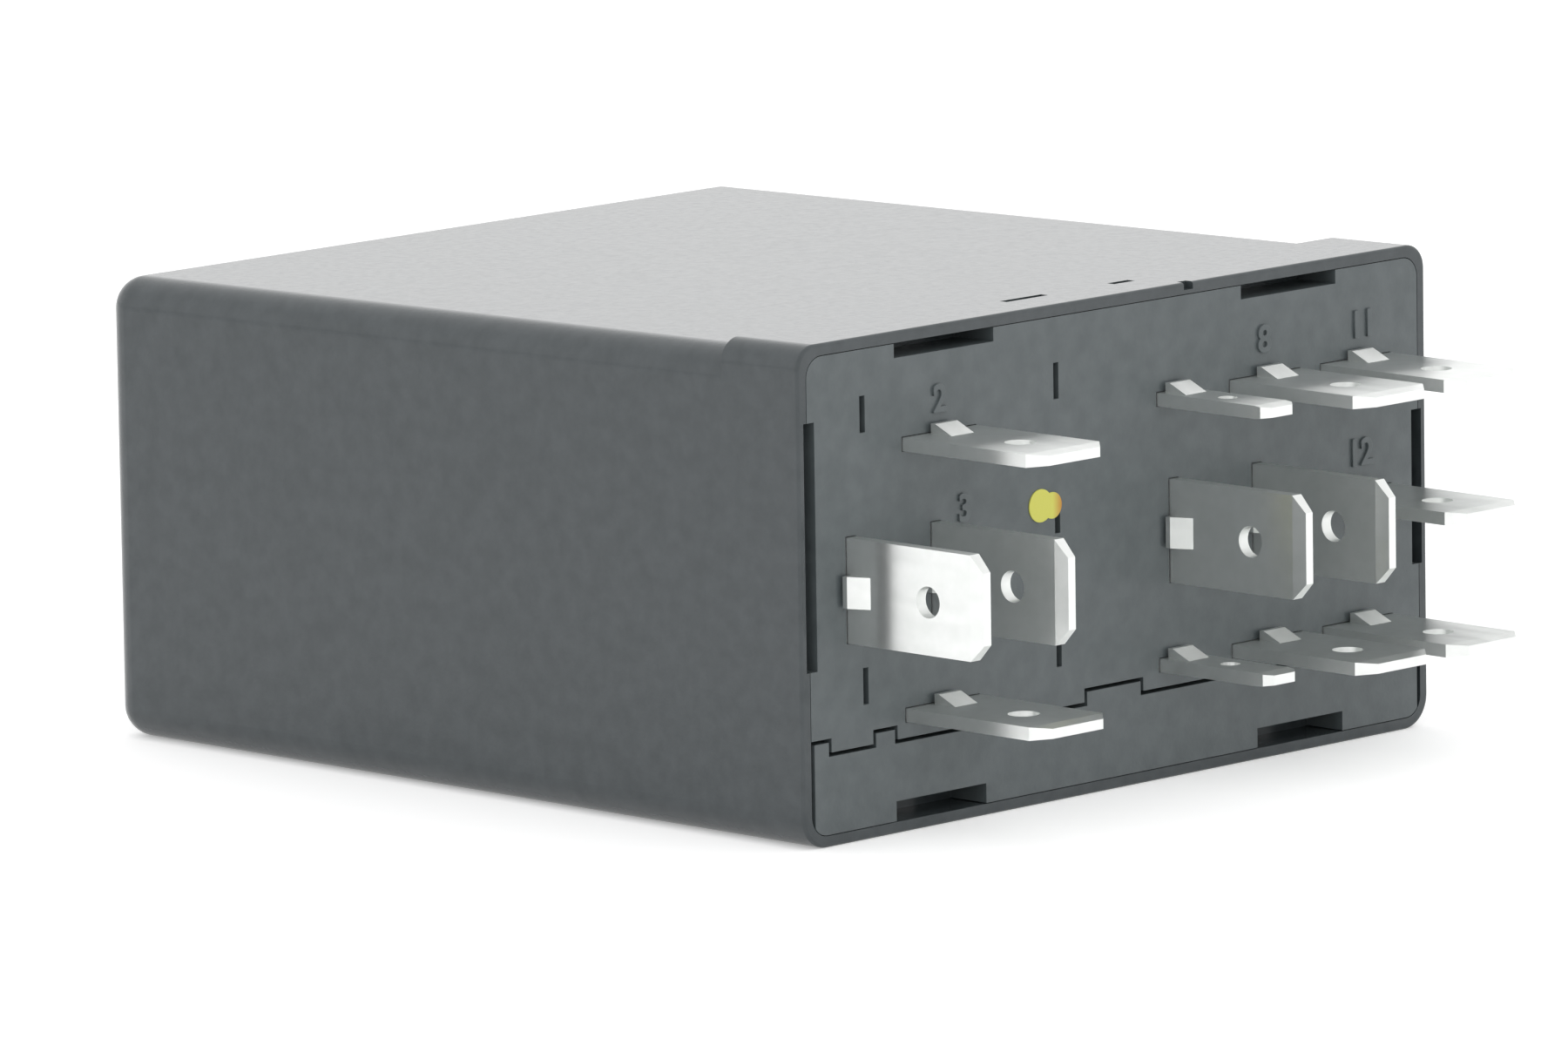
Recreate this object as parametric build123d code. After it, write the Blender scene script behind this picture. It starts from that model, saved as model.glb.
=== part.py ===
from build123d import *
import math
import os

# A plug-in automotive relay box: a moulded cover over a circuit board with two hinged-armature relays,
# and thirteen blade terminals that stand out of a carrier in the cover's open end.
# Sizes are in millimetres. While modelling, x = 0 is the open end face, the blades point to +x and the
# box lies on z = 0. Every piece is moved along x when it is written, so that the whole stands centred.

# Box
body_length = 60.0
body_width = 55.0
body_height = 29.5
top_fall = 0.8
side_draft = 0.4
edge_radius = 2.0
closed_end_radius = 1.8
mouth_edge_radius = 0.2
smallest_corner = 0.4
lengthwise_angle = 5.0
wall = 1.3
rim_length = 6.3
rim_rise = 0.5
rim_radius = 1.5
lip = 0.7
plate_thickness = 3.0
skirt_length = 4.0
skirt_wall = 0.9
skirt_lift = 3.0
fit_gap = 0.05
seam_gap = 0.24
overrun = 1.0

# Latches and small openings of the end face
latch_length = 8.5
latch_spread = 30.2
latch_slot = 0.85
window_length = 7.7
window_height = 1.25
window_spread = 31.6
side_slot_depth = 0.6
side_slot_cut = 0.25
left_slot_start = 10.6
left_slot_below_top = 4.1
right_slot_start = 10.2
right_slot_length = 9.6
slit_width = 0.45
slit_length = 2.2
slit_depth = 1.5
left_slit_from_blade = 1.1
centre_slit_y = -5.5
slit_rise = 2.2
rim_marks = ((-6.4, 3.6), (3.0, 1.8))
rim_mark_x = -3.4
rim_mark_width = 0.6
rim_mark_depth = 0.35
gate_y = 5.8
gate_width = 0.8
gate_depth = 0.45
gate_length = 0.6

# Blade terminals
blade_out = 11.0
wide_blade = 6.3
narrow_blade = 2.8
narrow_blade_out = 8.9
blade_thickness = 0.8
tip_chamfer = 1.0
narrow_tip_chamfer = 0.5
tip_bevel = 1.0
tip_thickness = 0.6
detent_from_tip = 4.4
wide_detent_radius = 0.95
narrow_detent_radius = 0.6
lance_length = 1.8
lance_width = 1.9
lance_height = 0.6
lance_start = 0.25
lance_crest = 0.35
lance_margin = 0.5
lance_root = 0.05
shoulder_extra = 0.7
shoulder_length = 1.2
shank_width = 3.0
narrow_shank_width = 1.8
pin_width = 1.0
bend_radius = 0.6
slot_clearance = 0.05

# Rows are heights from the bottom and below the top, columns are places in from the two sides
row_low = 7.0
row_top_below = 6.3
left_margin = 4.3
left_pitch = 7.6
left_upright_shift = -0.4
right_margin = 6.4
right_pitch = 8.2
right_upright_shift = -0.8
low_row_leg = 6.5
middle_row_leg = 9.6
top_row_leg = 13.0

# Board tray and main board
tray_floor = 1.1
tray_wall = 0.7
tray_side_gap = 0.3
seam_low = 5.4
seam_high = 6.25
end_tooth = 2.2
left_tooth = (6.2, 7.8)
centre_tooth = (-3.1, 1.6)
rail_height = 1.0
rail_width = 1.2
rail_setback = 11.5
ledge_depth = 2.2
board_thickness = 1.6
board_gap = 0.1
board_setback = 1.1
board_end_gap = 0.5
pin_below = 0.75

# Relay mechanism, measured from the back face of its yoke leg, the middle of the relay and the board
base_back = -3.5
base_width = 16.0
base_height = 1.2
base_side_gap = 0.2
base_end_gap = 0.4
contact_block_height = 5.2
contact_block_width = 9.0
post_cover = 1.2
post_block_height = 3.2
post_block_length = 2.2
post_width = 2.0
post_wall = 0.6
yoke_thickness = 1.5
yoke_width = 10.0
yoke_ear = 1.25
yoke_ear_rise = 2.2
ear_gap = 0.3
spool_gap = 1.3
relay_headroom = 0.5
spring_seat_thickness = 0.8
spring_seat_width = 2.8
core_radius = 3.0
core_gap = 0.1
spool_wall = 0.9
spool_flange = 13.2
spool_flange_thickness = 1.0
winding_below_flange = 0.4
pole_radius = 4.4
pole_thickness = 1.0
tenon_radius = 2.4
coil_pin_from_flange = 0.6
coil_pin_places = (-4.6, -1.6)
coil_pin_rise = 1.2
coil_pin_ear = 2.0
armature_thickness = 1.4
armature_setback = 0.6
armature_tail = 2.7
tail_width = 4.0
closed_gap = 0.3
hinge_gap = 0.1
open_angle = 3.0
leaf_thickness = 0.35
leaf_width = 4.0
leaf_start = 5.6
rivet_places = (7.6, 11.6)
rivet_radius = 0.8
rivet_rise = 0.3
contact_from_pigtail = 2.9
contact_radius = 1.5
contact_head = 0.8
contact_margin = 0.3
shank_radius = 0.75
press_clearance = 0.02
contact_clearance = 0.15
fixed_contact = 0.5
strip_thickness = 0.6
strip_width = 3.2
no_post_from_contact = 3.3
post_pitch = 2.4
spring_x = -1.9
spring_room = 8.0
spring_radius = 0.9
spring_wire = 0.2
spring_sides = 4
spring_turns = 4
spring_end_gap = 0.1
pigtail_from_flange = 1.4
pigtail_y = 3.1
pigtail_radius = 0.45
pigtail_sides = 6
pigtail_bow = 1.7
pigtail_gap = 0.2
pigtail_tab = 1.6
pigtail_tab_margin = 0.9
common_post_height = 6.0

# Electronics on the board
chip_length = 8.65
chip_width = 3.9
chip_height = 1.5
chip_raise = 0.15
chip_pins = 14
chip_pin_pitch = 1.27
chip_pin_width = 0.42
chip_foot_spread = 6.0
transistor_length = 6.5
transistor_width = 3.5
transistor_height = 1.65
transistor_pin_pitch = 2.3
transistor_pin_width = 0.75
transistor_foot_spread = 7.0
tab_width = 3.0
diode_length = 4.3
diode_width = 2.6
diode_height = 2.2
diode_foot_width = 1.4
diode_foot_spread = 5.2
resistor_length = 3.2
resistor_width = 1.6
resistor_height = 0.6
body_taper = 0.2
body_raise = 0.1
foot_thickness = 0.2
foot_length = 0.6
capacitor_radius = 4.0
capacitor_height = 14.0
capacitor_chamfer = 0.4
capacitor_pin_spread = 3.5
lead_radius = 0.3
lead_hole_radius = 0.42
part_gap = 0.8

# Inspection dot, two dabs of paint
dot_y = -7.0
dot_rise = 2.95
dot_radii = (1.0, 0.8)
dot_shift = (0.1, 1.0)
dot_thickness = 0.08

# Worked out from the sizes above
overall_length = body_length + blade_out
frame_shift = (body_length - blade_out) / 2
half_width = body_width / 2
rim_top = body_height + rim_rise
inner_corner = max(edge_radius - wall, smallest_corner)
row_top = body_height - row_top_below
row_middle = (row_low + row_top) / 2
column_a = -half_width + left_margin
column_b = column_a + left_pitch
column_e = half_width - right_margin
column_d = column_e - right_pitch
column_c = column_d - right_pitch
left_slot_span = (left_slot_start, body_height - left_slot_below_top)
right_slot_span = (right_slot_start, right_slot_start + right_slot_length)
floor_top = wall + tray_floor
floor_back = -body_length + wall + inner_corner
floor_half = half_width - side_draft - wall - inner_corner
board_bottom = floor_top + rail_height
board_top = board_bottom + board_thickness
board_half = floor_half - tray_wall - board_gap
board_front = -plate_thickness - board_setback
board_back = floor_back + board_end_gap
pin_bottom = board_bottom - pin_below
pin_depth = board_thickness + pin_below
leg_place = {row_low: -low_row_leg, row_middle: -middle_row_leg, row_top: -top_row_leg}

relay_x = board_back + base_end_gap - base_back
relay_y = board_half - base_width / 2 - base_side_gap
coil_x = yoke_thickness + spool_gap + spool_flange / 2
yoke_length = coil_x + spool_flange / 2 - core_gap
winding_radius = spool_flange / 2 - winding_below_flange
armature_length = coil_x + spool_flange / 2 - armature_setback
pigtail_x = coil_x + spool_flange / 2 + pigtail_from_flange
contact_x = pigtail_x + contact_from_pigtail
no_post_x = contact_x + no_post_from_contact
nc_post_x = no_post_x + post_pitch
base_front = nc_post_x + post_cover
tongue_start = contact_x - contact_radius
post_places = (
    (no_post_x, 0.0, strip_width),
    (nc_post_x, 0.0, strip_width),
    (pigtail_x, pigtail_y, post_width),
)
coil_pin_x = coil_x + spool_flange / 2 + coil_pin_from_flange
spool_radius = core_radius + core_gap + spool_wall
hinge_x = yoke_thickness / 2
contact_rise = (contact_x + contact_radius - hinge_x) * math.sin(math.radians(open_angle))
above_pole = closed_gap + armature_thickness + leaf_thickness + contact_head + contact_rise
above_pole = above_pole + contact_clearance + fixed_contact + strip_thickness
below_coil = base_height + yoke_thickness + spool_flange_thickness
above_coil = spool_flange_thickness + pole_thickness + above_pole
relay_room = body_height - top_fall - wall - relay_headroom - board_top
coil_length = relay_room - below_coil - above_coil
yoke_bottom = base_height
spool_bottom = yoke_bottom + yoke_thickness
spool_top = spool_bottom + coil_length + 2 * spool_flange_thickness
pole_top = spool_top + pole_thickness
armature_bottom = pole_top + closed_gap
leg_top = armature_bottom - hinge_gap
hinge_z = leg_top
leaf_bottom = armature_bottom + armature_thickness
leaf_top = leaf_bottom + leaf_thickness
spring_seat = armature_bottom - spring_room
contact_low = leaf_bottom - contact_head
contact_high = leaf_top + contact_head
nc_face = contact_high + contact_rise + contact_clearance
no_face = contact_low - contact_clearance

parts_x = relay_x + base_front + part_gap + capacitor_radius
chip_x = relay_x + (yoke_length + base_back) / 2
diode_y = capacitor_radius + part_gap + diode_width / 2
resistor_y = diode_y + diode_width / 2 + part_gap + resistor_width / 2
transistor_y = resistor_y + resistor_width / 2 + part_gap + transistor_length / 2

nodes = {}


def block(x0, x1, y0, y1, z0, z1):
    return Pos((x0 + x1) / 2, (y0 + y1) / 2, (z0 + z1) / 2) * Box(x1 - x0, y1 - y0, z1 - z0)


def side_block(x0, x1, side, near, far, z0, z1):
    y0, y1 = sorted((side * near, side * far))
    return block(x0, x1, y0, y1, z0, z1)


def upright_rod(x, y, z0, z1, radius):
    return Pos(x, y, (z0 + z1) / 2) * Cylinder(radius, z1 - z0)


def across_profile(points, width):
    return extrude(Plane.XZ * make_face(Polyline(*points, close=True)), width / 2, both=True)


def keep(name, solid):
    nodes[name] = solid


# Box: its sides and top draw in towards the closed end, its bottom is flat


def drafted_box(x0, x1, inset, rise=0.0, radius=edge_radius):
    def half(x):
        return half_width + side_draft * x / body_length - inset

    def top(x):
        return body_height + rise + top_fall * x / body_length - inset

    plan = Polyline((x0, -half(x0)), (x1, -half(x1)), (x1, half(x1)), (x0, half(x0)), close=True)
    upright = extrude(make_face(plan), rim_top + overrun)
    side = ((x0, inset), (x1, inset), (x1, top(x1)), (x0, top(x0)))
    solid = upright & across_profile(side, 2 * body_width)
    along = solid.edges().filter_by(Axis.X, tolerance=lengthwise_angle)
    return fillet(along, max(radius - inset, smallest_corner))


def cover():
    rim = drafted_box(-rim_length, 0, 0, rim_rise, rim_radius)
    rim = rim & block(-rim_length, 0, -body_width, body_width, body_height / 2, rim_top)
    body = drafted_box(-body_length, 0, 0) + rim
    body = fillet(body.faces().sort_by(Axis.X)[0].edges(), closed_end_radius)
    body = fillet(body.faces().sort_by(Axis.X)[-1].edges(), mouth_edge_radius)
    body = body - drafted_box(-body_length + wall, overrun, wall)
    body = body - drafted_box(-plate_thickness, overrun, lip, rim_rise)
    inner = half_width - lip
    for side, span in ((-1, left_slot_span), (1, right_slot_span)):
        recess = side_block(-plate_thickness, overrun, side, inner - fit_gap, inner + side_slot_cut, *span)
        body = body - recess
    for y, length in rim_marks:
        mark = block(0, rim_mark_width, y, y + length, rim_top - rim_mark_depth, rim_top + overrun)
        body = body - Pos(rim_mark_x - rim_mark_width / 2, 0, 0) * mark
    gate = block(-gate_length, overrun, gate_y, gate_y + gate_width, rim_top - gate_depth, rim_top + overrun)
    return body - gate


# End face: the terminal carrier above and the tray's front below, with a stepped seam between


def seam_region(offset):
    low = seam_low + offset
    high = seam_high + offset
    back = -plate_thickness - overrun
    left, right = left_tooth
    teeth = (
        (-half_width, end_tooth - half_width),
        (left - half_width, right - half_width),
        centre_tooth,
        (half_width - end_tooth, half_width),
    )
    region = block(back, overrun, -half_width, half_width, -overrun, low)
    for y0, y1 in teeth:
        region = region + block(back, overrun, y0 - offset, y1 + offset, 0, high)
    return region


def end_plate():
    return drafted_box(-plate_thickness, 0, lip + fit_gap, rim_rise)


def side_recess(side, span):
    edge = half_width - lip - fit_gap
    return side_block(-plate_thickness - overrun, overrun, side, edge - side_slot_depth, half_width, *span)


def slit(y, z):
    half = slit_width / 2
    return block(-slit_depth, overrun, y - half, y + half, z - slit_length / 2, z + slit_length / 2)


def carrier():
    back = -plate_thickness - skirt_length
    skirt = drafted_box(back, -plate_thickness, wall + fit_gap)
    skirt = skirt - drafted_box(back, -plate_thickness, wall + fit_gap + skirt_wall)
    skirt = skirt & block(back, 0, -body_width, body_width, seam_high + skirt_lift, body_height)
    plate = end_plate() - seam_region(seam_gap) + skirt
    top = rim_top - lip - fit_gap
    for side in (-1, 1):
        y = side * latch_spread / 2
        half = latch_length / 2
        plate = plate - block(back, overrun, y - half, y + half, top - latch_slot, rim_top)
    plate = plate - side_recess(-1, left_slot_span) - side_recess(1, right_slot_span)
    for z in (row_top, row_low):
        plate = plate - slit(column_a + left_slit_from_blade, z + slit_rise)
    for z in (row_top, row_middle, row_low):
        plate = plate - slit(centre_slit_y, z + slit_rise)
    for blade in blades:
        plate = plate - blade_opening(blade)
    return plate


def tray():
    edge = half_width - lip - tray_side_gap
    front = end_plate() & seam_region(0) & block(-plate_thickness, 0, -edge, edge, 0, rim_top)
    for side in (-1, 1):
        y = side * window_spread / 2
        half = window_length / 2
        front = front - block(-plate_thickness, 0, y - half, y + half, 0, lip + window_height)
    solid = front + block(floor_back, -plate_thickness, -floor_half, floor_half, wall, floor_top)
    ledge_half = board_half - rail_width
    ledge_back = -plate_thickness - ledge_depth
    solid = solid + block(ledge_back, -plate_thickness, -ledge_half, ledge_half, floor_top, board_bottom)
    rail_front = -plate_thickness - rail_setback
    for side in (-1, 1):
        rail = side_block(board_back, rail_front, side, ledge_half, board_half, floor_top, board_bottom)
        near = board_half + board_gap
        curb = side_block(board_back, -plate_thickness, side, near, floor_half, floor_top, board_top)
        solid = solid + rail + curb
    return solid


# Blade terminals: name, across, height, wide or narrow, flat or upright

blades = []


def add_blade(name, y, z, width=wide_blade, upright=False):
    out = blade_out if width == wide_blade else narrow_blade_out
    blades.append({"name": name, "y": y, "z": z, "width": width, "out": out, "upright": upright})


def blade_opening(blade):
    half = blade["width"] / 2 + slot_clearance
    thick = blade_thickness / 2 + slot_clearance
    slot = block(-plate_thickness - overrun, overrun, -half, half, -thick, thick)
    if blade["upright"]:
        slot = Rot(90, 0, 0) * slot
    return Pos(0, blade["y"], blade["z"]) * slot


def blade_front(blade):
    width = blade["width"]
    out = blade["out"]
    half = width / 2
    under = blade_thickness / 2
    is_wide = width == wide_blade
    corner = tip_chamfer if is_wide else narrow_tip_chamfer
    back = -plate_thickness - shoulder_length
    plan = Polyline(
        (back, -half),
        (out - corner, -half),
        (out, -half + corner),
        (out, half - corner),
        (out - corner, half),
        (back, half),
        close=True,
    )
    sheet = extrude(make_face(plan), under, both=True)
    side = (
        (back, -under),
        (out - tip_bevel, -under),
        (out, -tip_thickness / 2),
        (out, tip_thickness / 2),
        (out - tip_bevel, under),
        (back, under),
    )
    solid = sheet & across_profile(side, width)
    shoulder = half + shoulder_extra
    solid = solid + block(back, -plate_thickness, -shoulder, shoulder, -under, under)
    radius = wide_detent_radius if is_wide else narrow_detent_radius
    solid = solid - upright_rod(out - detent_from_tip, 0, -blade_thickness, blade_thickness, radius)
    return solid + lance(min(lance_width, width - 2 * lance_margin))


def lance(width):
    base = blade_thickness / 2 - lance_root
    top = blade_thickness / 2 + lance_height
    end = lance_start + lance_length
    points = ((lance_start, base), (end, base), (lance_start + lance_crest, top), (lance_start, top))
    return across_profile(points, width)


def flat_terminal(blade):
    y = blade["y"]
    z = blade["z"]
    half = (shank_width if blade["width"] == wide_blade else narrow_shank_width) / 2
    back = -plate_thickness - shoulder_length
    leg = leg_place[z]
    under = blade_thickness / 2
    bend = Polyline(
        (back, z + under),
        (leg - under, z + under),
        (leg - under, board_top),
        (leg + under, board_top),
        (leg + under, z - under),
        (back, z - under),
        close=True,
    )
    face = make_face(bend)
    outer = face.vertices().sort_by_distance((leg - under, z + under, 0))[0]
    face = fillet(outer, bend_radius + blade_thickness)
    inner = face.vertices().sort_by_distance((leg + under, z - under, 0))[0]
    face = fillet(inner, bend_radius)
    strip = Pos(0, y, 0) * extrude(Plane.XZ * face, half, both=True)
    pin = block(leg - under, leg + under, y - pin_width / 2, y + pin_width / 2, pin_bottom, board_top)
    return Pos(0, y, z) * blade_front(blade) + strip + pin


def upright_terminal(blade):
    y = blade["y"]
    z = blade["z"]
    half = shank_width / 2
    under = blade_thickness / 2
    back = -plate_thickness - shoulder_length
    leg = leg_place[z]
    strip = block(leg - half, back, y - under, y + under, z - half, z + half)
    strip = strip + block(leg - half, leg + half, y - under, y + under, board_top, z + half)
    pin = block(leg - pin_width / 2, leg + pin_width / 2, y - under, y + under, pin_bottom, board_top)
    return Pos(0, y, z) * Rot(90, 0, 0) * blade_front(blade) + strip + pin


def terminal(blade):
    return upright_terminal(blade) if blade["upright"] else flat_terminal(blade)


def terminal_hole(blade):
    leg = leg_place[blade["z"]]
    long_side = pin_width / 2 + slot_clearance
    short_side = blade_thickness / 2 + slot_clearance
    across, along = (short_side, long_side) if blade["upright"] else (long_side, short_side)
    y = blade["y"]
    low = board_bottom - overrun
    return block(leg - along, leg + along, y - across, y + across, low, board_top + overrun)


# Relay pieces, in the relay's own place: x from the back of the yoke leg, z from the board


def strip_pin(x, y=0.0, top=0.0, clearance=0.0):
    along = strip_thickness / 2 + clearance
    across = pin_width / 2 + clearance
    return block(x - along, x + along, y - across, y + across, -pin_depth - clearance, top)


def relay_base():
    half = base_width / 2
    solid = block(base_back, base_front, -half, half, 0, base_height)
    half = contact_block_width / 2
    solid = solid + block(no_post_x - post_cover, base_front, -half, half, 0, contact_block_height)
    along = post_block_length / 2
    across = post_width / 2 + post_wall
    y0 = pigtail_y - across
    y1 = pigtail_y + across
    solid = solid + block(pigtail_x - along, pigtail_x + along, y0, y1, 0, post_block_height)
    for x, y, width in post_places:
        along = strip_thickness / 2 + slot_clearance
        across = width / 2 + slot_clearance
        top = contact_block_height + overrun
        solid = solid - block(x - along, x + along, y - across, y + across, -overrun, top)
    for y in coil_pin_places:
        solid = solid - upright_rod(coil_pin_x, y, -overrun, base_height + overrun, lead_hole_radius)
    return solid


def yoke():
    half = yoke_width / 2
    solid = block(0, yoke_length, -half, half, yoke_bottom, spool_bottom)
    solid = solid + block(0, yoke_thickness, -half, half, yoke_bottom, leg_top)
    for side in (-1, 1):
        low = leg_top - yoke_thickness
        ear = side_block(0, yoke_thickness, side, half - yoke_ear, half, low, leg_top + yoke_ear_rise)
        solid = solid + ear
    half = spring_seat_width / 2
    seat = block(2 * spring_x, 0, -half, half, spring_seat - spring_seat_thickness, spring_seat)
    hole = upright_rod(coil_x, 0, 0, spool_bottom + overrun, tenon_radius + press_clearance)
    return solid + seat - hole


def core():
    solid = upright_rod(coil_x, 0, yoke_bottom, spool_bottom, tenon_radius)
    solid = solid + upright_rod(coil_x, 0, spool_bottom, spool_top, core_radius)
    return solid + upright_rod(coil_x, 0, spool_top, pole_top, pole_radius)


def bobbin():
    half = spool_flange / 2
    solid = upright_rod(coil_x, 0, spool_bottom, spool_top, spool_radius)
    flange_top = spool_bottom + spool_flange_thickness
    for z0, z1 in ((spool_bottom, flange_top), (spool_top - spool_flange_thickness, spool_top)):
        solid = solid + block(coil_x - half, coil_x + half, -half, half, z0, z1)
    for y in coil_pin_places:
        ear = block(0, coil_pin_ear, -coil_pin_ear / 2, coil_pin_ear / 2, spool_bottom, flange_top)
        solid = solid + Pos(coil_x + half - coil_pin_from_flange, y, 0) * ear
        solid = solid - upright_rod(coil_pin_x, y, 0, flange_top + overrun, lead_radius + press_clearance)
    return solid - upright_rod(coil_x, 0, 0, spool_top + overrun, core_radius + core_gap)


def winding():
    low = spool_bottom + spool_flange_thickness
    high = spool_top - spool_flange_thickness
    solid = upright_rod(coil_x, 0, low, high, winding_radius)
    return solid - upright_rod(coil_x, 0, 0, high + overrun, spool_radius + press_clearance)


def coil_pin(y):
    top = spool_bottom + spool_flange_thickness + coil_pin_rise
    return upright_rod(coil_pin_x, y, -pin_depth, top, lead_radius)


def armature():
    half = yoke_width / 2
    tail = tail_width / 2
    solid = block(0, armature_length, -half, half, armature_bottom, leaf_bottom)
    solid = solid + block(-armature_tail, 0, -tail, tail, armature_bottom, leaf_bottom)
    for side in (-1, 1):
        near = half - yoke_ear - ear_gap
        low = armature_bottom - overrun
        notch = side_block(-overrun, yoke_thickness + ear_gap, side, near, yoke_width, low, leaf_top)
        solid = solid - notch
    for x in rivet_places:
        solid = solid + upright_rod(x, 0, leaf_bottom, leaf_top + rivet_rise, rivet_radius)
    return solid


def contact_leaf():
    half = leaf_width / 2
    end = contact_x + contact_radius + contact_margin
    solid = block(leaf_start, end, -half, half, leaf_bottom, leaf_top)
    tab = pigtail_tab / 2
    side = pigtail_y + pigtail_tab_margin
    solid = solid + block(pigtail_x - tab, pigtail_x + tab, 0, side, leaf_bottom, leaf_top)
    for x in rivet_places:
        solid = solid - upright_rod(x, 0, 0, leaf_top + overrun, rivet_radius + press_clearance)
    return solid - upright_rod(contact_x, 0, 0, leaf_top + overrun, shank_radius + press_clearance)


def moving_contact():
    solid = upright_rod(contact_x, 0, contact_low, leaf_bottom, contact_radius)
    solid = solid + upright_rod(contact_x, 0, leaf_bottom, leaf_top, shank_radius)
    return solid + upright_rod(contact_x, 0, leaf_top, contact_high, contact_radius)


def contact_carrier(post_x, tongue_low):
    top = tongue_low + strip_thickness
    half = strip_thickness / 2
    bend = Polyline(
        (tongue_start, top),
        (post_x + half, top),
        (post_x + half, 0),
        (post_x - half, 0),
        (post_x - half, tongue_low),
        (tongue_start, tongue_low),
        close=True,
    )
    face = make_face(bend)
    outer = face.vertices().sort_by_distance((post_x + half, top, 0))[0]
    face = fillet(outer, bend_radius + strip_thickness)
    inner = face.vertices().sort_by_distance((post_x - half, tongue_low, 0))[0]
    face = fillet(inner, bend_radius)
    strip = extrude(Plane.XZ * face, strip_width / 2, both=True)
    return strip + strip_pin(post_x)


def common_post():
    half = strip_thickness / 2
    across = post_width / 2
    y0 = pigtail_y - across
    y1 = pigtail_y + across
    solid = block(pigtail_x - half, pigtail_x + half, y0, y1, 0, common_post_height)
    return solid + strip_pin(pigtail_x, pigtail_y)


def pigtail():
    low = common_post_height + pigtail_gap
    high = leaf_bottom + lifted(pigtail_x) - pigtail_gap
    middle = (pigtail_x, pigtail_y + pigtail_bow, (low + high) / 2)
    path = ThreePointArc((pigtail_x, pigtail_y, low), middle, (pigtail_x, pigtail_y, high))
    section = Plane(origin=path @ 0, z_dir=path % 0) * RegularPolygon(pigtail_radius, pigtail_sides)
    return sweep(section, path)


def return_spring():
    end_gap = spring_wire + spring_end_gap
    low = spring_seat + end_gap
    height = armature_bottom + lifted(-armature_tail) - end_gap - low
    path = Helix(pitch=height / spring_turns, height=height, radius=spring_radius)
    section = Plane(origin=path @ 0, z_dir=path % 0) * RegularPolygon(spring_wire, spring_sides)
    return Pos(spring_x, 0, low) * sweep(section, path)


def opened(solid):
    pivot = Pos(hinge_x, 0, hinge_z)
    return pivot * Rot(0, -open_angle, 0) * pivot.inverse() * solid


def lifted(x):
    return (x - hinge_x) * math.sin(math.radians(open_angle))


def relay(number, y):
    place = Pos(relay_x, y, board_top)
    no_tongue = no_face - fixed_contact - strip_thickness
    nc_tongue = nc_face + fixed_contact
    pieces = {
        "relay_base": relay_base(),
        "yoke": yoke(),
        "core": core(),
        "bobbin": bobbin(),
        "coil_winding": winding(),
        "coil_pins": sum((coil_pin(pin_y) for pin_y in coil_pin_places), start=Part()),
        "armature": opened(armature()),
        "contact_leaf": opened(contact_leaf()),
        "moving_contact": opened(moving_contact()),
        "no_carrier": contact_carrier(no_post_x, no_tongue),
        "no_contact": upright_rod(contact_x, 0, no_face - fixed_contact, no_face, contact_radius),
        "nc_carrier": contact_carrier(nc_post_x, nc_tongue),
        "nc_contact": upright_rod(contact_x, 0, nc_face, nc_tongue, contact_radius),
        "common_post": common_post(),
        "pigtail": pigtail(),
        "return_spring": return_spring(),
    }
    for name, solid in pieces.items():
        keep(f"{name}_{number}", place * solid)


def relay_holes(y):
    holes = [strip_pin(post_x, post_y, overrun, slot_clearance) for post_x, post_y, width in post_places]
    for pin_y in coil_pin_places:
        holes.append(upright_rod(coil_pin_x, pin_y, -board_thickness - overrun, overrun, lead_hole_radius))
    return [Pos(relay_x, y, board_top) * hole for hole in holes]


# Electronics


def foot(x, side, body_half, foot_half, width, height):
    x0 = x - width / 2
    x1 = x + width / 2
    heel = foot_half - foot_length
    solid = side_block(x0, x1, side, heel, foot_half, 0, foot_thickness)
    solid = solid + side_block(x0, x1, side, heel, heel + foot_thickness, 0, height)
    near = body_half - foot_thickness
    return solid + side_block(x0, x1, side, near, heel, height - foot_thickness, height)


def moulded_body(length, width, height, low):
    end = Rectangle(length - body_taper, width - body_taper)
    middle = Rectangle(length, width)
    levels = ((low, end), (low + height / 2, middle), (low + height, end))
    return loft([Pos(0, 0, level) * section for level, section in levels], ruled=True)


def integrated_circuit():
    solid = moulded_body(chip_length, chip_width, chip_height, chip_raise)
    per_side = chip_pins // 2
    height = chip_raise + chip_height / 2
    for index in range(per_side):
        x = (index - (per_side - 1) / 2) * chip_pin_pitch
        for side in (-1, 1):
            solid = solid + foot(x, side, chip_width / 2, chip_foot_spread / 2, chip_pin_width, height)
    return solid


def transistor():
    solid = moulded_body(transistor_length, transistor_width, transistor_height, body_raise)
    half = transistor_width / 2
    reach = transistor_foot_spread / 2
    height = transistor_height / 2
    solid = solid + foot(0, 1, half, reach, tab_width, height)
    for offset in (-transistor_pin_pitch, 0, transistor_pin_pitch):
        solid = solid + foot(offset, -1, half, reach, transistor_pin_width, height)
    return solid


def diode():
    solid = moulded_body(diode_width, diode_length, diode_height, body_raise)
    for side in (-1, 1):
        reach = diode_foot_spread / 2
        solid = solid + foot(0, side, diode_length / 2, reach, diode_foot_width, diode_height / 2)
    return solid


def resistor():
    half = resistor_length / 2
    return block(-half, half, -resistor_width / 2, resistor_width / 2, 0, resistor_height)


def electrolytic_capacitor():
    solid = upright_rod(0, 0, 0, capacitor_height, capacitor_radius)
    solid = chamfer(solid.edges().filter_by(GeomType.CIRCLE), capacitor_chamfer)
    for side in (-1, 1):
        solid = solid + upright_rod(0, side * capacitor_pin_spread / 2, -pin_depth, 0, lead_radius)
    return solid


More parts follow.
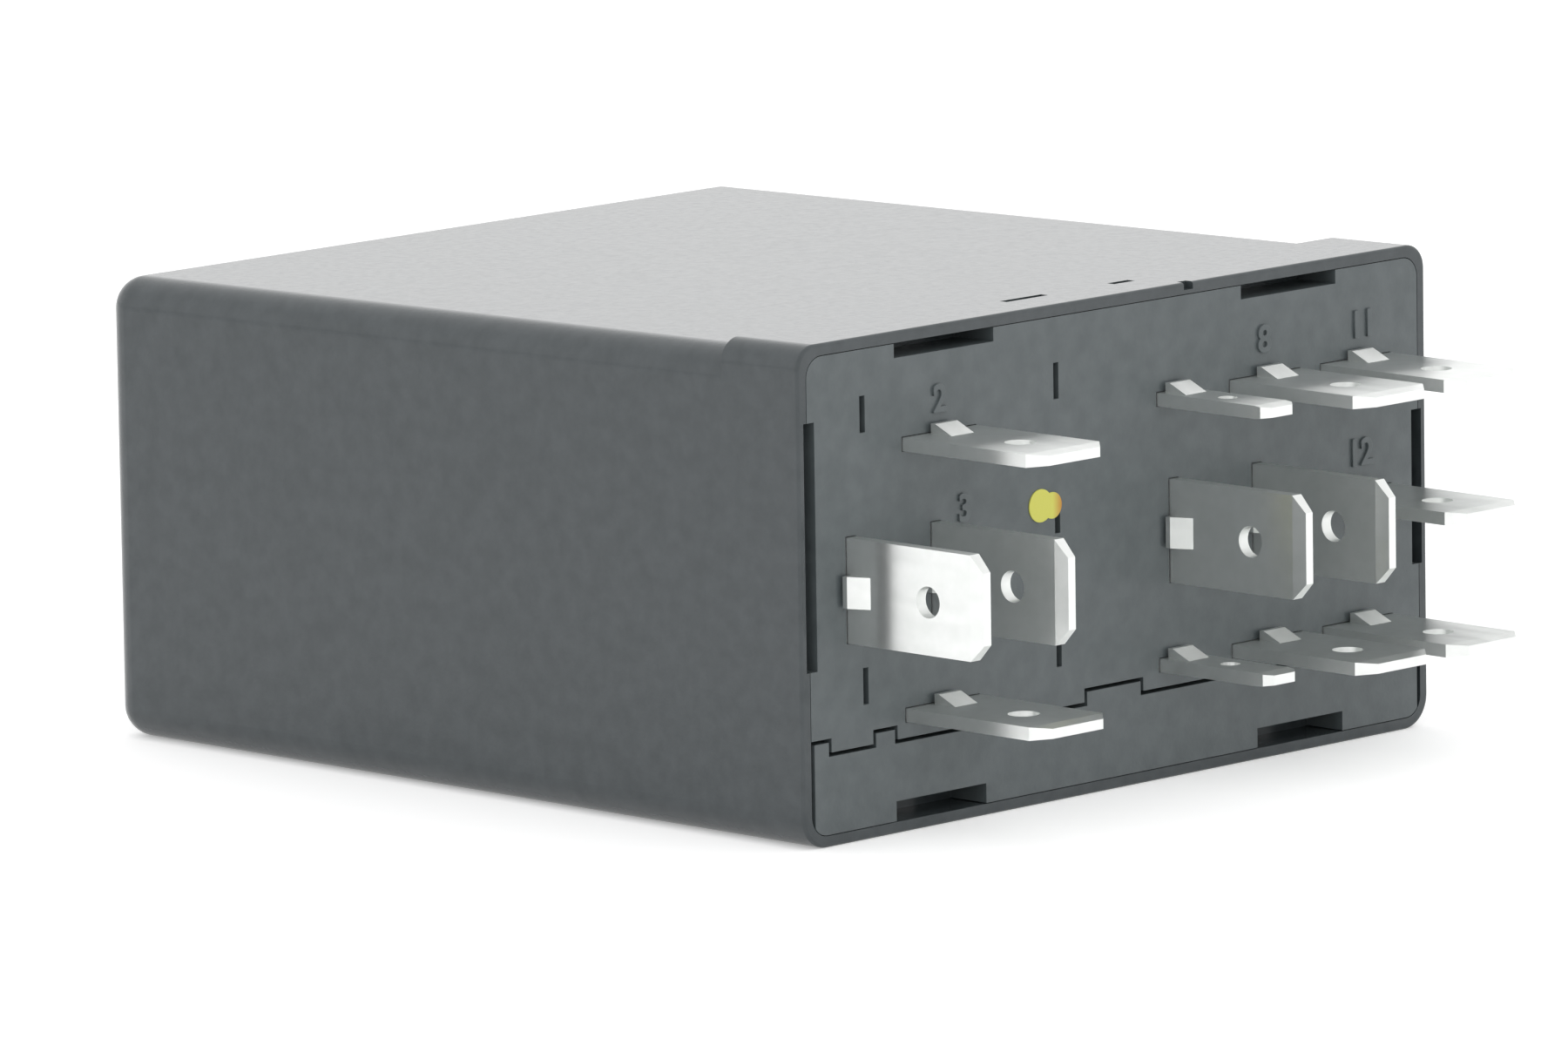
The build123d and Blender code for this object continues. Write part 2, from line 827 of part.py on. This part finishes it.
def main_board():
    solid = block(board_back, board_front, -board_half, board_half, board_bottom, board_top)
    for blade in blades:
        solid = solid - terminal_hole(blade)
    for side in (-1, 1):
        for hole in relay_holes(side * relay_y):
            solid = solid - hole
        y = side * capacitor_pin_spread / 2
        low = board_bottom - overrun
        solid = solid - upright_rod(parts_x, y, low, board_top + overrun, lead_hole_radius)
    return solid


def inspection_dot():
    dab = upright_rod(0, 0, 0, dot_thickness, dot_radii[0])
    dab = dab + upright_rod(*dot_shift, 0, dot_thickness, dot_radii[1])
    return Pos(0, dot_y, row_middle + dot_rise) * Rot(0, 90, 0) * dab


# The object

add_blade("terminal_a_middle", column_a, row_middle, upright=True)
add_blade("terminal_b_top", column_b, row_top)
add_blade("terminal_b_middle", column_b + left_upright_shift, row_middle, upright=True)
add_blade("terminal_b_bottom", column_b, row_low)
add_blade("terminal_c_top", column_c, row_top, narrow_blade)
add_blade("terminal_c_middle", column_c, row_middle, upright=True)
add_blade("terminal_c_bottom", column_c, row_low, narrow_blade)
add_blade("terminal_d_top", column_d, row_top)
add_blade("terminal_d_middle", column_d + right_upright_shift, row_middle, upright=True)
add_blade("terminal_d_bottom", column_d, row_low)
add_blade("terminal_e_top", column_e, row_top)
add_blade("terminal_e_middle", column_e, row_middle)
add_blade("terminal_e_bottom", column_e, row_low)

keep("cover", cover())
keep("terminal_carrier", carrier())
keep("board_tray", tray())
for blade in blades:
    keep(blade["name"], terminal(blade))
relay(1, -relay_y)
relay(2, relay_y)
keep("main_board", main_board())
keep("integrated_circuit", Pos(chip_x, 0, board_top) * integrated_circuit())
keep("electrolytic_capacitor", Pos(parts_x, 0, board_top) * electrolytic_capacitor())
for number, side in ((1, -1), (2, 1)):
    turned = Rot(0, 0, 90)
    keep(f"driver_transistor_{number}", Pos(parts_x, side * transistor_y, board_top) * turned * transistor())
    keep(f"flyback_diode_{number}", Pos(parts_x, side * diode_y, board_top) * turned * diode())
    keep(f"base_resistor_{number}", Pos(parts_x, side * resistor_y, board_top) * resistor())
keep("inspection_dot", inspection_dot())

os.makedirs("parts", exist_ok=True)
for name, solid in nodes.items():
    export_step(Pos(frame_shift, 0, 0) * solid, f"parts/{name}.step")
print(len(nodes), "nodes; overall length", overall_length)
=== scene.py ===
import math

import bpy
from mathutils import Matrix, Vector


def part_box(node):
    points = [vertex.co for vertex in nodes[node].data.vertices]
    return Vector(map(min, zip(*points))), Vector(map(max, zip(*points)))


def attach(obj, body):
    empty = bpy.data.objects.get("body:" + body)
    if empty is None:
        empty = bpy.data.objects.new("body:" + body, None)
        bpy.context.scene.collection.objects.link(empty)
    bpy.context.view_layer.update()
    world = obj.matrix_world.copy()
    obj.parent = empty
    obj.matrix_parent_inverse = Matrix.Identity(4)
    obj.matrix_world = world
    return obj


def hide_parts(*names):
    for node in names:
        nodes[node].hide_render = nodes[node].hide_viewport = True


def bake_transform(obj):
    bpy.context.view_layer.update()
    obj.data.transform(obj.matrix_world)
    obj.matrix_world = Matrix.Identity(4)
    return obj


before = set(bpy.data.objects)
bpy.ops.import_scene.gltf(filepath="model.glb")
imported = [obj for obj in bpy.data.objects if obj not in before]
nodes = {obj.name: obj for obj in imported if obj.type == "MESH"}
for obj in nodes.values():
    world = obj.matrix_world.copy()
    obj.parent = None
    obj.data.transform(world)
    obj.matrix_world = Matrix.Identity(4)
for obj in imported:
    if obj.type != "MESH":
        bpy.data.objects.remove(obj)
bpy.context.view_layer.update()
mm = 0.001

# Camera: solved from the corners of the box and the blades in the photograph
camera_place = Vector((0.57029, -0.58374, 0.14721))
camera_forward = Vector((-0.69203, 0.70357, -0.16153))
camera_right = Vector((0.71459, 0.69937, -0.01523))
camera_lens = 310.1
camera_sensor = 36.0
camera_shift = (0.0006, 0.0001)
camera_near = 0.01
camera_far = 50.0

# Light and floor: the sky's share of its strength by height, from the horizon at 0 to overhead at 1
sky_strength = 1.3
sky_levels = ((0.0, 0.77), (0.12, 1.0), (0.3, 1.0), (0.6, 0.86))
floor_size = 6.0
floor_colour = (0.86, 0.86, 0.86, 1)
floor_glow = 0.33

# Finishes: the used part of a noise, and the size of the mottling and of the changes in gloss
noise_low = 0.3
noise_high = 0.7
plastic_mottle = 1.2 * mm
plastic_gloss = 0.6 * mm
metal_mottle = 1.0 * mm
drawing_direction = (0, 1, 1)
paint_gloss = 0.5 * mm
paint_grain = 0.3 * mm
paint_depth = 0.02 * mm
paint_rough = (0.35, 0.55)
paint_edge = (0.72, 0.98)

# Plain numbers moulded on the carrier: the number, and how far across and up its middle stands
number_size = 2.3 * mm
number_rise = 0.13 * mm
number_edge = 0.03 * mm
number_weight = 0.04 * mm
terminal_numbers = (
    (2, -15.6 * mm, 25.5 * mm),
    (3, -13.6 * mm, 18.7 * mm),
    (8, 12.8 * mm, 25.7 * mm),
    (11, 21.7 * mm, 25.6 * mm),
    (12, 21.4 * mm, 17.7 * mm),
)

# Wound and flexible pieces of the relays, each in the place of the solid that it stands for
relays = (1, 2)
turn_height = 0.3 * mm
turn_depth = 0.12 * mm
spool_radius = 4.05 * mm
rings_in_turn = 6
round_steps = 48
strand_radius = 0.13 * mm
strands_round = 6
strand_twists = 2.5
strand_steps = 60
spring_wire = 0.17 * mm
spring_seat_gap = 0.12 * mm
spring_tail_gap = 0.24 * mm
spring_turns = 4
spring_steps = 24
wire_facets = 2


def add_camera():
    data = bpy.data.cameras.new("camera")
    data.lens = camera_lens
    data.sensor_width = camera_sensor
    data.shift_x, data.shift_y = camera_shift
    data.clip_start = camera_near
    data.clip_end = camera_far
    camera = bpy.data.objects.new("camera", data)
    bpy.context.scene.collection.objects.link(camera)
    backward = -camera_forward.normalized()
    right = (camera_right - camera_right.dot(backward) * backward).normalized()
    up = backward.cross(right)
    turn = Matrix((right, up, backward)).transposed().to_4x4()
    camera.matrix_world = Matrix.Translation(camera_place) @ turn
    bpy.context.scene.camera = camera
    bpy.context.scene.view_settings.view_transform = "Standard"


def add_world():
    world = bpy.data.worlds.new("soft_white")
    bpy.context.scene.world = world
    world.use_nodes = True
    tree = world.node_tree
    background = tree.nodes["Background"]
    background.inputs["Strength"].default_value = sky_strength
    direction = tree.nodes.new("ShaderNodeTexCoord")
    height = tree.nodes.new("ShaderNodeSeparateXYZ")
    level = tree.nodes.new("ShaderNodeValToRGB")
    stops = level.color_ramp.elements
    while len(stops) < len(sky_levels):
        stops.new(1.0)
    for stop, (position, share) in zip(stops, sky_levels):
        stop.position = position
        stop.color = (share, share, share, 1)
    tree.links.new(direction.outputs["Generated"], height.inputs["Vector"])
    tree.links.new(height.outputs["Z"], level.inputs["Fac"])
    tree.links.new(level.outputs["Color"], background.inputs["Color"])


def add_floor():
    half = floor_size / 2
    mesh = bpy.data.meshes.new("floor")
    corners = [(-half, -half, 0), (half, -half, 0), (half, half, 0), (-half, half, 0)]
    mesh.from_pydata(corners, [], [(0, 1, 2, 3)])
    floor = bpy.data.objects.new("floor", mesh)
    bpy.context.scene.collection.objects.link(floor)
    material = bpy.data.materials.new("floor_white")
    material.use_nodes = True
    tree = material.node_tree
    tree.nodes.clear()
    diffuse = tree.nodes.new("ShaderNodeBsdfDiffuse")
    diffuse.inputs["Color"].default_value = floor_colour
    glow = tree.nodes.new("ShaderNodeEmission")
    path = tree.nodes.new("ShaderNodeLightPath")
    seen = path.outputs["Is Camera Ray"]
    for kind in ("Is Glossy Ray", "Is Transmission Ray"):
        either = tree.nodes.new("ShaderNodeMath")
        either.operation = "MAXIMUM"
        tree.links.new(seen, either.inputs[0])
        tree.links.new(path.outputs[kind], either.inputs[1])
        seen = either.outputs[0]
    level = tree.nodes.new("ShaderNodeMath")
    level.operation = "MULTIPLY"
    level.inputs[1].default_value = floor_glow
    tree.links.new(seen, level.inputs[0])
    tree.links.new(level.outputs[0], glow.inputs["Strength"])
    both = tree.nodes.new("ShaderNodeAddShader")
    output = tree.nodes.new("ShaderNodeOutputMaterial")
    tree.links.new(diffuse.outputs[0], both.inputs[0])
    tree.links.new(glow.outputs[0], both.inputs[1])
    tree.links.new(both.outputs[0], output.inputs["Surface"])
    mesh.materials.append(material)


class Finish:
    """One procedural material, built round a Principled shader in object space."""

    def __init__(self, name):
        self.material = bpy.data.materials.new(name)
        self.material.use_nodes = True
        self.tree = self.material.node_tree
        self.shader = self.tree.nodes["Principled BSDF"]
        self.place = self.tree.nodes.new("ShaderNodeTexCoord").outputs["Object"]

    def noise(self, size, detail=2.0, stretch=(1, 1, 1)):
        mapping = self.tree.nodes.new("ShaderNodeMapping")
        mapping.inputs["Scale"].default_value = stretch
        self.tree.links.new(self.place, mapping.inputs["Vector"])
        node = self.tree.nodes.new("ShaderNodeTexNoise")
        node.inputs["Scale"].default_value = 1 / size
        node.inputs["Detail"].default_value = detail
        self.tree.links.new(mapping.outputs["Vector"], node.inputs["Vector"])
        return node.outputs["Fac"]

    def ramp(self, source, low, high, start=noise_low, end=noise_high):
        node = self.tree.nodes.new("ShaderNodeValToRGB")
        node.color_ramp.elements[0].position = start
        node.color_ramp.elements[1].position = end
        node.color_ramp.elements[0].color = (*low, 1)
        node.color_ramp.elements[1].color = (*high, 1)
        self.tree.links.new(source, node.inputs["Fac"])
        return node.outputs["Color"]

    def span(self, source, low, high):
        node = self.tree.nodes.new("ShaderNodeMapRange")
        node.inputs["From Min"].default_value = noise_low
        node.inputs["From Max"].default_value = noise_high
        node.inputs["To Min"].default_value = low
        node.inputs["To Max"].default_value = high
        self.tree.links.new(source, node.inputs["Value"])
        return node.outputs["Result"]

    def along(self, axis, start, end):
        split = self.tree.nodes.new("ShaderNodeSeparateXYZ")
        self.tree.links.new(self.place, split.inputs["Vector"])
        node = self.tree.nodes.new("ShaderNodeMapRange")
        node.inputs["From Min"].default_value = start
        node.inputs["From Max"].default_value = end
        self.tree.links.new(split.outputs[axis], node.inputs["Value"])
        return node.outputs["Result"]

    def colour(self, source):
        self.tree.links.new(source, self.shader.inputs["Base Color"])

    def roughness(self, source):
        self.tree.links.new(source, self.shader.inputs["Roughness"])

    def tangent(self, direction):
        node = self.tree.nodes.new("ShaderNodeCombineXYZ")
        for socket, value in zip(node.inputs, direction):
            socket.default_value = value
        self.tree.links.new(node.outputs["Vector"], self.shader.inputs["Tangent"])

    def bump(self, source, depth):
        node = self.tree.nodes.new("ShaderNodeBump")
        node.inputs["Distance"].default_value = depth
        self.tree.links.new(source, node.inputs["Height"])
        self.tree.links.new(node.outputs["Normal"], self.shader.inputs["Normal"])


def plastic(name, low, high, rough=(0.4, 0.5), grain=0.25 * mm, depth=0.01 * mm):
    finish = Finish(name)
    finish.colour(finish.ramp(finish.noise(plastic_mottle, detail=4.0), low, high))
    finish.roughness(finish.span(finish.noise(plastic_gloss), *rough))
    finish.bump(finish.noise(grain, detail=3.0), depth)
    return finish.material


def metal(
    name,
    low,
    high,
    rough=(0.15, 0.3),
    grain=0.4 * mm,
    depth=0.002 * mm,
    stretch=(0.15, 1, 1),
    drawn=0.0,
    metallic=1.0,
):
    finish = Finish(name)
    finish.shader.inputs["Metallic"].default_value = metallic
    finish.shader.inputs["Anisotropic"].default_value = drawn
    if drawn:
        finish.tangent(drawing_direction)
    finish.colour(finish.ramp(finish.noise(metal_mottle, detail=3.0), low, high))
    finish.roughness(finish.span(finish.noise(grain, detail=3.0, stretch=stretch), *rough))
    finish.bump(finish.noise(grain, detail=3.0, stretch=stretch), depth)
    return finish.material


def paint_dab(name, middle, edge):
    low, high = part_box("inspection_dot")
    finish = Finish(name)
    across = finish.along("Y", low[1], high[1])
    finish.colour(finish.ramp(across, middle, edge, *paint_edge))
    finish.roughness(finish.span(finish.noise(paint_gloss), *paint_rough))
    finish.bump(finish.noise(paint_grain, detail=3.0), paint_depth)
    return finish.material


def add_numbers(material):
    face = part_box("terminal_carrier")[1][0]
    for number, across, height in terminal_numbers:
        curve = bpy.data.curves.new(f"terminal_number_{number}", "FONT")
        curve.body = str(number)
        curve.size = number_size
        curve.extrude = number_rise
        curve.bevel_depth = number_edge
        curve.offset = number_weight
        curve.align_x = "CENTER"
        curve.align_y = "CENTER"
        curve.materials.append(material)
        piece = bpy.data.objects.new(curve.name, curve)
        rows = ((0, 0, 1, face), (1, 0, 0, across), (0, 1, 0, height), (0, 0, 0, 1))
        piece.matrix_world = Matrix(rows)
        bpy.context.scene.collection.objects.link(piece)
        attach(piece, "housing")


def new_piece(name, mesh, material):
    mesh.shade_smooth()
    mesh.materials.append(material)
    piece = bpy.data.objects.new(name, mesh)
    bpy.context.scene.collection.objects.link(piece)
    return piece


def on_circle(middle, radius, angle, height):
    return (middle[0] + radius * math.cos(angle), middle[1] + radius * math.sin(angle), height)


def wires(name, lines, radius, material):
    curve = bpy.data.curves.new(name, "CURVE")
    curve.dimensions = "3D"
    curve.bevel_depth = radius
    curve.bevel_resolution = wire_facets
    curve.use_fill_caps = True
    for line in lines:
        spline = curve.splines.new("POLY")
        spline.points.add(len(line) - 1)
        for point, place in zip(spline.points, line):
            point.co = (*place, 1)
    drawn = bpy.data.objects.new(f"{name}_lines", curve)
    mesh = bpy.data.meshes.new_from_object(drawn)
    bpy.data.objects.remove(drawn)
    bpy.data.curves.remove(curve)
    return new_piece(name, mesh, material)


def add_winding(relay, material):
    low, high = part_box(f"coil_winding_{relay}")
    middle = (low + high) / 2
    radius = (high[0] - low[0]) / 2
    rise = high[2] - low[2]
    turns = round(rise / turn_height)
    rings = turns * rings_in_turn
    profile = [(spool_radius, high[2]), (spool_radius, low[2])]
    for ring in range(rings + 1):
        share = ring / rings
        groove = math.cos(math.pi * turns * share) ** 2
        profile.append((radius - turn_depth * groove, low[2] + share * rise))
    vertices = []
    for step in range(round_steps):
        angle = 2 * math.pi * step / round_steps
        vertices += [on_circle(middle, reach, angle, height) for reach, height in profile]
    faces = []
    count = len(profile)
    for step in range(round_steps):
        here = step * count
        ahead = (step + 1) % round_steps * count
        for place in range(count):
            beyond = (place + 1) % count
            faces.append((here + place, ahead + place, ahead + beyond, here + beyond))
    mesh = bpy.data.meshes.new(f"winding_turns_{relay}")
    mesh.from_pydata(vertices, [], faces)
    piece = new_piece(mesh.name, mesh, material)
    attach(piece, "housing")
    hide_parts(f"coil_winding_{relay}")


def add_pigtail(relay, material):
    low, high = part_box(f"pigtail_{relay}")
    across = (low[0] + high[0]) / 2
    reach = 2 * strand_radius
    near = low[1] + reach + strand_radius
    bow = high[1] - reach - strand_radius - near
    bottom = low[2] + strand_radius
    rise = high[2] - strand_radius - bottom
    middle = []
    for step in range(strand_steps + 1):
        share = step / strand_steps
        middle.append((across, near + bow * math.sin(math.pi * share), bottom + share * rise))
    lines = [middle]
    for strand in range(strands_round):
        line = []
        for step, (x, y, z) in enumerate(middle):
            share = step / strand_steps
            turn = 2 * math.pi * (strand / strands_round + strand_twists * share)
            lean = math.atan2(bow * math.pi * math.cos(math.pi * share), rise)
            wide = reach * math.cos(turn)
            deep = reach * math.sin(turn)
            line.append((x + wide, y + deep * math.cos(lean), z - deep * math.sin(lean)))
        lines.append(line)
    piece = wires(f"pigtail_strands_{relay}", lines, strand_radius, material)
    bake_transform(piece)
    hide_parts(f"pigtail_{relay}")


def add_spring(relay, material):
    low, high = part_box(f"return_spring_{relay}")
    middle = (low + high) / 2
    radius = (high[0] - low[0]) / 2 - spring_wire
    bottom = low[2] + spring_wire - spring_seat_gap
    rise = high[2] - spring_wire + spring_tail_gap - bottom
    steps = spring_turns * spring_steps
    points = []
    for step in range(steps + 1):
        angle = 2 * math.pi * step / spring_steps
        points.append(on_circle(middle, radius, angle, bottom + rise * step / steps))
    piece = wires(f"spring_coil_{relay}", [points], spring_wire, material)
    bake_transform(piece)
    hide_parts(f"return_spring_{relay}")


def dress(material, *names):
    for name in names:
        mesh = nodes[name].data
        mesh.materials.clear()
        mesh.materials.append(material)


def each_relay(*names):
    return [f"{name}_{relay}" for name in names for relay in relays]


add_camera()
add_world()
add_floor()

# Housing and blades
cover_plastic = plastic(
    "cover_plastic",
    (0.040, 0.049, 0.053),
    (0.054, 0.064, 0.069),
    rough=(0.12, 0.18),
)
carrier_plastic = plastic(
    "carrier_plastic",
    (0.076, 0.091, 0.095),
    (0.100, 0.116, 0.121),
    rough=(0.3, 0.42),
)
tinned_brass = metal(
    "tinned_brass",
    (0.88, 0.9, 0.88),
    (0.93, 0.945, 0.93),
    rough=(0.3, 0.36),
    grain=0.8 * mm,
    depth=0.001 * mm,
    drawn=1.0,
    metallic=0.88,
)
dress(cover_plastic, "cover")
dress(carrier_plastic, "terminal_carrier", "board_tray")
blades = [name for name in nodes if name.startswith("terminal_") and name != "terminal_carrier"]
dress(tinned_brass, *blades)

# Relays
relay_plastic = plastic("relay_plastic", (0.02, 0.02, 0.021), (0.035, 0.035, 0.037))
bobbin_plastic = plastic("bobbin_plastic", (0.6, 0.57, 0.46), (0.68, 0.65, 0.54))
plated_steel = metal("plated_steel", (0.6, 0.59, 0.52), (0.72, 0.71, 0.66), rough=(0.25, 0.4))
contact_silver = metal("contact_silver", (0.8, 0.8, 0.79), (0.92, 0.92, 0.9))
spring_steel = metal("spring_steel", (0.45, 0.45, 0.46), (0.6, 0.6, 0.6))
enamelled_copper = metal(
    "enamelled_copper",
    (0.53, 0.175, 0.05),
    (0.6, 0.215, 0.065),
    rough=(0.2, 0.28),
    depth=0.0005 * mm,
)
copper_strip = metal("copper_strip", (0.7, 0.38, 0.2), (0.82, 0.5, 0.3))
stranded_copper = metal("stranded_copper", (0.62, 0.31, 0.15), (0.8, 0.46, 0.27), grain=0.12 * mm)
dress(relay_plastic, *each_relay("relay_base"))
dress(bobbin_plastic, *each_relay("bobbin"))
dress(plated_steel, *each_relay("yoke", "core", "armature"))
dress(contact_silver, *each_relay("moving_contact", "no_contact", "nc_contact", "coil_pins"))
dress(spring_steel, *each_relay("return_spring"))
dress(enamelled_copper, *each_relay("coil_winding"))
dress(stranded_copper, *each_relay("pigtail"))
dress(copper_strip, *each_relay("contact_leaf", "no_carrier", "nc_carrier", "common_post"))
for relay in relays:
    add_winding(relay, enamelled_copper)
    add_pigtail(relay, stranded_copper)
    add_spring(relay, spring_steel)

# Board and electronics
component_black = plastic("component_black", (0.012, 0.012, 0.013), (0.025, 0.025, 0.026))
capacitor_sleeve = plastic(
    "capacitor_sleeve",
    (0.02, 0.03, 0.09),
    (0.03, 0.04, 0.12),
    rough=(0.25, 0.35),
    depth=0.003 * mm,
)
circuit_board = plastic(
    "circuit_board",
    (0.015, 0.1, 0.035),
    (0.03, 0.16, 0.06),
    rough=(0.25, 0.35),
    depth=0.003 * mm,
)
dress(component_black, "integrated_circuit")
dress(component_black, *each_relay("driver_transistor", "flyback_diode", "base_resistor"))
dress(capacitor_sleeve, "electrolytic_capacitor")
dress(circuit_board, "main_board")

# Marks on the carrier
yellow_paint = paint_dab("yellow_paint", (0.62, 0.61, 0.11), (0.52, 0.25, 0.04))
dress(yellow_paint, "inspection_dot")
add_numbers(carrier_plastic)
